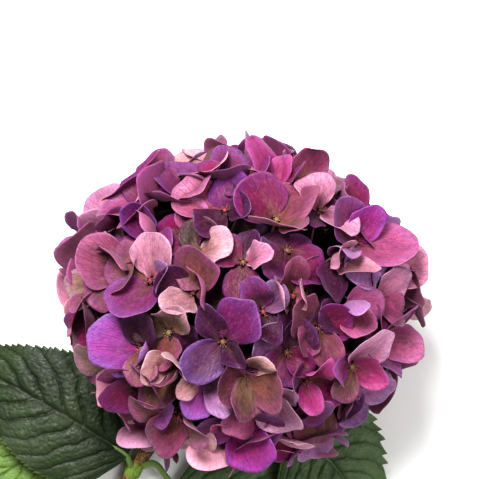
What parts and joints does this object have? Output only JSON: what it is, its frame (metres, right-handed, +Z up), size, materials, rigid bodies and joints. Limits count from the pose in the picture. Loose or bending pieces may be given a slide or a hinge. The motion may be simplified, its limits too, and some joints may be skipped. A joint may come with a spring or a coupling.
{
  "type": "cut hydrangea flower",
  "caption": "Cut mophead flower lying on its side: a full dome of overlapping four-sepal florets on a branching cyme, with a bent woody stem and broad toothed leaves.",
  "frame": {"origin": "middle of the flower's bounding box in plan, on the surface that it lies on", "axes": "+X to the right and +Y from the cut end of the stem towards the head, both along the surface; +Z up from the surface"},
  "size_m": [0.2742, 0.3406, 0.1527],
  "materials": {
    "sepals_pale": "pale pink to cream sepals, matt with a faint satin sheen",
    "sepals_rose": "dusty rose and magenta sepals, matt with a faint satin sheen",
    "sepals_violet": "violet and lilac sepals, matt with a faint satin sheen",
    "cyme_green": "smooth pale green stalks flushed with pink",
    "stem_bark": "brown woody bark with pale pores, green towards the head",
    "leaf_green": "dark green blade with pressed-in paler veins, satin"
  },
  "bodies": {
    "root": {"cymule_01": "sepals_rose", "cymule_02": "sepals_pale", "cymule_03": "sepals_rose", "cymule_04": "sepals_rose", "cymule_05": "sepals_violet", "cymule_06": "sepals_violet", "cymule_07": "sepals_rose", "cymule_08": "sepals_rose", "cymule_09": "sepals_rose", "cymule_10": "sepals_rose", "cymule_11": "sepals_rose", "cymule_12": "sepals_rose", "cymule_13": "sepals_rose", "cymule_14": "sepals_rose", "cymule_15": "sepals_rose", "cymule_16": "sepals_rose", "cymule_17": "sepals_violet", "cymule_18": "sepals_violet", "cymule_19": "sepals_rose", "cymule_20": "sepals_rose", "cymule_21": "sepals_rose", "cymule_22": "sepals_violet", "cymule_23": "sepals_rose", "cymule_24": "sepals_rose", "cymule_25": "sepals_violet", "cymule_26": "sepals_rose", "cymule_27": "sepals_rose", "cymule_28": "sepals_rose", "cymule_29": "sepals_violet", "cymule_30": "sepals_rose", "cymule_31": "sepals_rose", "cymule_32": "sepals_rose", "cymule_33": "sepals_rose", "cymule_34": "sepals_rose", "cymule_35": "sepals_rose", "cymule_36": "sepals_rose", "cymule_37": "sepals_rose", "cymule_38": "sepals_rose", "cymule_39": "sepals_rose", "cymule_40": "sepals_rose", "cymule_41": "sepals_rose", "cymule_42": "sepals_rose", "cymule_43": "sepals_rose", "cymule_44": "sepals_pale", "cymule_45": "sepals_rose", "cymule_46": "sepals_rose", "cyme_branches": "cyme_green", "stem": "stem_bark", "leaf_upper_right": "leaf_green", "leaf_upper_left": "leaf_green", "leaf_lower_left": "leaf_green", "leaf_lower_right": "leaf_green"}
  },
  "joints": []
}
